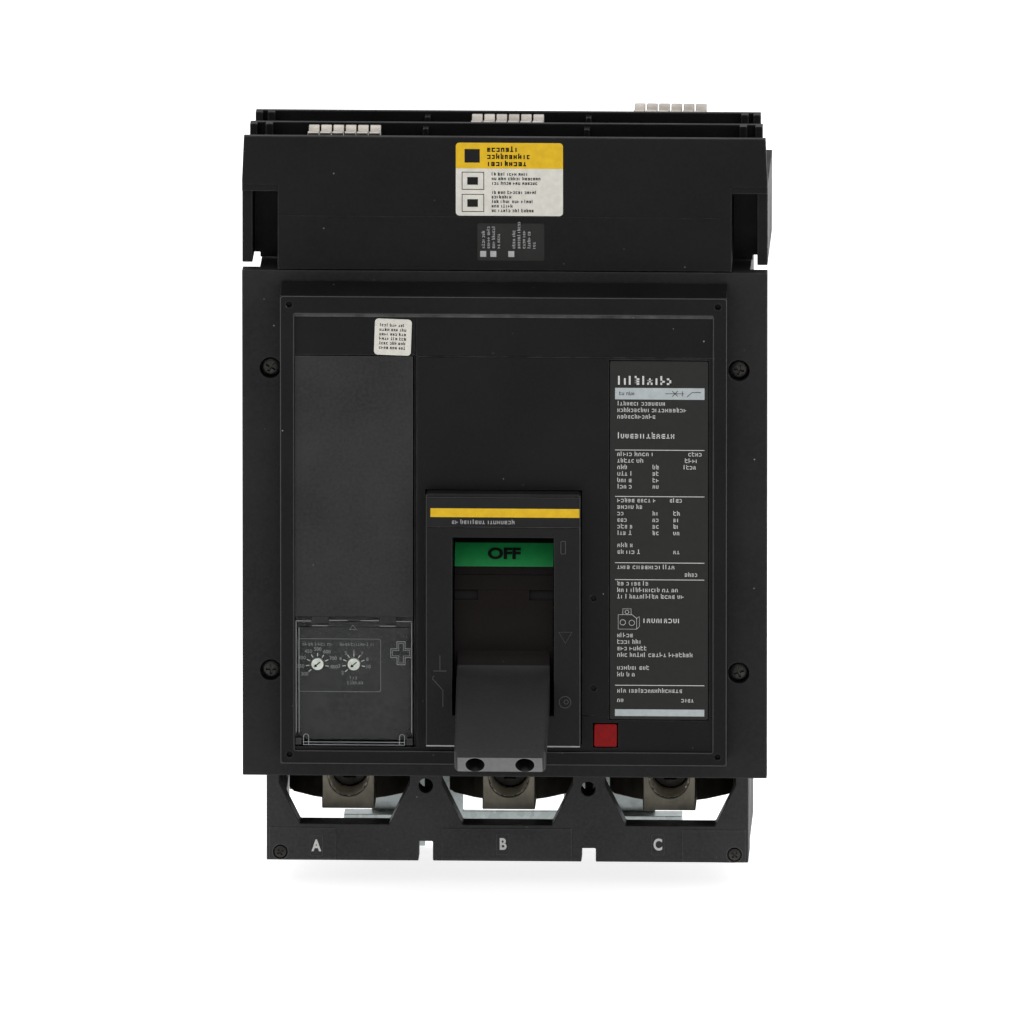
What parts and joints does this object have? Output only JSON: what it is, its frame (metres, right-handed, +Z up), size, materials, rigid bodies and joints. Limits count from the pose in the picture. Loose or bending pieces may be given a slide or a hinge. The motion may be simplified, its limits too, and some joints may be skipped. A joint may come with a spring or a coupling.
{
  "type": "molded case circuit breaker",
  "caption": "Multi-pole plug-on molded case circuit breaker with line jaws, adjustable trip unit, throw handle, push-to-trip button and screw lugs behind a shield.",
  "frame": {"origin": "centre of the mounting bracket's width on the rear mounting plane, at the height of the main case's lower edge", "axes": "+X to the right seen from the front, the front faces -Y, +Z up towards the line end"},
  "size_m": [0.228, 0.1943, 0.3425],
  "materials": {
    "black_case": "fine-grained molded thermoset, satin",
    "black_cover": "fine-grained molded thermoplastic, satin",
    "grey_unit": "smooth molded thermoplastic, satin",
    "clear_window": "clear polycarbonate, gloss",
    "dial_plastic": "pale nylon, satin",
    "label_film": "printed polyester film, semi-gloss",
    "red_button": "red molded plastic, semi-gloss",
    "black_handle": "black molded thermoset, satin",
    "steel": "zinc-plated steel",
    "dark_steel": "black-oxide steel",
    "resin": "molded insulating resin",
    "fibre": "vulcanised fibre with steel plates",
    "copper": "bare copper strap",
    "silver_plate": "silver-plated copper alloy",
    "tin_plate": "tin-plated aluminium, brushed",
    "galvanised": "galvanised sheet steel with spangle"
  },
  "bodies": {
    "housing": {"rear_base": "black_case", "front_case": "black_case", "jaw_shroud": "black_case", "lug_shield": "black_case", "accessory_cover": "black_cover", "escutcheon": "black_cover", "trip_unit_body": "grey_unit", "rating_plate": "label_film", "handle_pin": "steel", "side_plate_left": "steel", "side_plate_right": "steel", "trip_actuator": "steel", "cover_screw_1": "dark_steel", "cover_screw_2": "dark_steel", "cover_screw_3": "dark_steel", "cover_screw_4": "dark_steel", "shield_screw_left": "dark_steel", "shield_screw_right": "dark_steel", "lug_screw_a_front": "dark_steel", "lug_screw_a_left": "dark_steel", "lug_screw_a_right": "dark_steel", "lug_screw_b_front": "dark_steel", "lug_screw_b_left": "dark_steel", "lug_screw_b_right": "dark_steel", "lug_screw_c_front": "dark_steel", "lug_screw_c_left": "dark_steel", "lug_screw_c_right": "dark_steel", "current_transformer_a": "resin", "current_transformer_b": "resin", "current_transformer_c": "resin", "arc_chute_a": "fibre", "arc_chute_b": "fibre", "arc_chute_c": "fibre", "line_conductor_a": "copper", "load_conductor_a": "copper", "line_conductor_b": "copper", "load_conductor_b": "copper", "line_conductor_c": "copper", "load_conductor_c": "copper", "jaw_a": "silver_plate", "jaw_b": "silver_plate", "jaw_c": "silver_plate", "lug_a": "tin_plate", "lug_b": "tin_plate", "lug_c": "tin_plate", "mounting_bracket": "galvanised"},
    "handle": {"handle": "black_handle", "handle_yoke": "steel", "main_spring_left": "steel", "main_spring_right": "steel"},
    "contacts": {"crossbar": "resin", "contact_arm_a": "copper", "contact_arm_b": "copper", "contact_arm_c": "copper"},
    "trip_button": {"trip_button": "red_button"},
    "trip_bar": {"trip_bar": "dark_steel"},
    "cradle": {"cradle": "dark_steel"},
    "trip_unit_window": {"trip_unit_window": "clear_window"},
    "long_time_dial": {"long_time_dial": "dial_plastic"},
    "instantaneous_dial": {"instantaneous_dial": "dial_plastic"}
  },
  "joints": [
    {"name": "handle_throw", "type": "hinge", "parent": "housing", "child": "handle", "pos_m": [0, -0.088, 0.0713], "axis": [-1, 0, 0], "range_deg": [0, 54], "deforming": ["main_spring_left", "main_spring_right"]},
    {"name": "contacts_turn", "type": "hinge", "parent": "housing", "child": "contacts", "pos_m": [0, -0.046, 0.1], "axis": [-1, 0, 0], "range_deg": [0, 27.2]},
    {"name": "trip_push", "type": "slide", "parent": "housing", "child": "trip_button", "axis": [0, 1, 0], "range_m": [0, 0.003], "stiffness_N_per_m": 500},
    {"name": "trip_bar_turn", "type": "hinge", "parent": "housing", "child": "trip_bar", "pos_m": [0, -0.108, 0.0095], "axis": [-1, 0, 0], "range_deg": [0, 18.2]},
    {"name": "cradle_release", "type": "hinge", "parent": "housing", "child": "cradle", "pos_m": [0, -0.08, 0.13], "axis": [-1, 0, 0], "range_deg": [0, 18.2]},
    {"name": "window_open", "type": "hinge", "parent": "housing", "child": "trip_unit_window", "pos_m": [-0.065, -0.1392, 0.0714], "axis": [-1, 0, 0], "range_deg": [0, 105]},
    {"name": "long_time_set", "type": "hinge", "parent": "housing", "child": "long_time_dial", "pos_m": [-0.081, -0.136, 0.052], "axis": [0, 1, 0], "range_deg": [0, 231]},
    {"name": "instantaneous_set", "type": "hinge", "parent": "housing", "child": "instantaneous_dial", "pos_m": [-0.0652, -0.136, 0.052], "axis": [0, 1, 0], "range_deg": [0, 231]}
  ],
  "couplings": [
    {"joint": "contacts_turn", "follows": "handle_throw", "ratio": 0.5},
    {"joint": "trip_bar_turn", "follows": "trip_push", "rad_per_m": 105},
    {"joint": "cradle_release", "follows": "trip_push", "rad_per_m": 105}
  ]
}
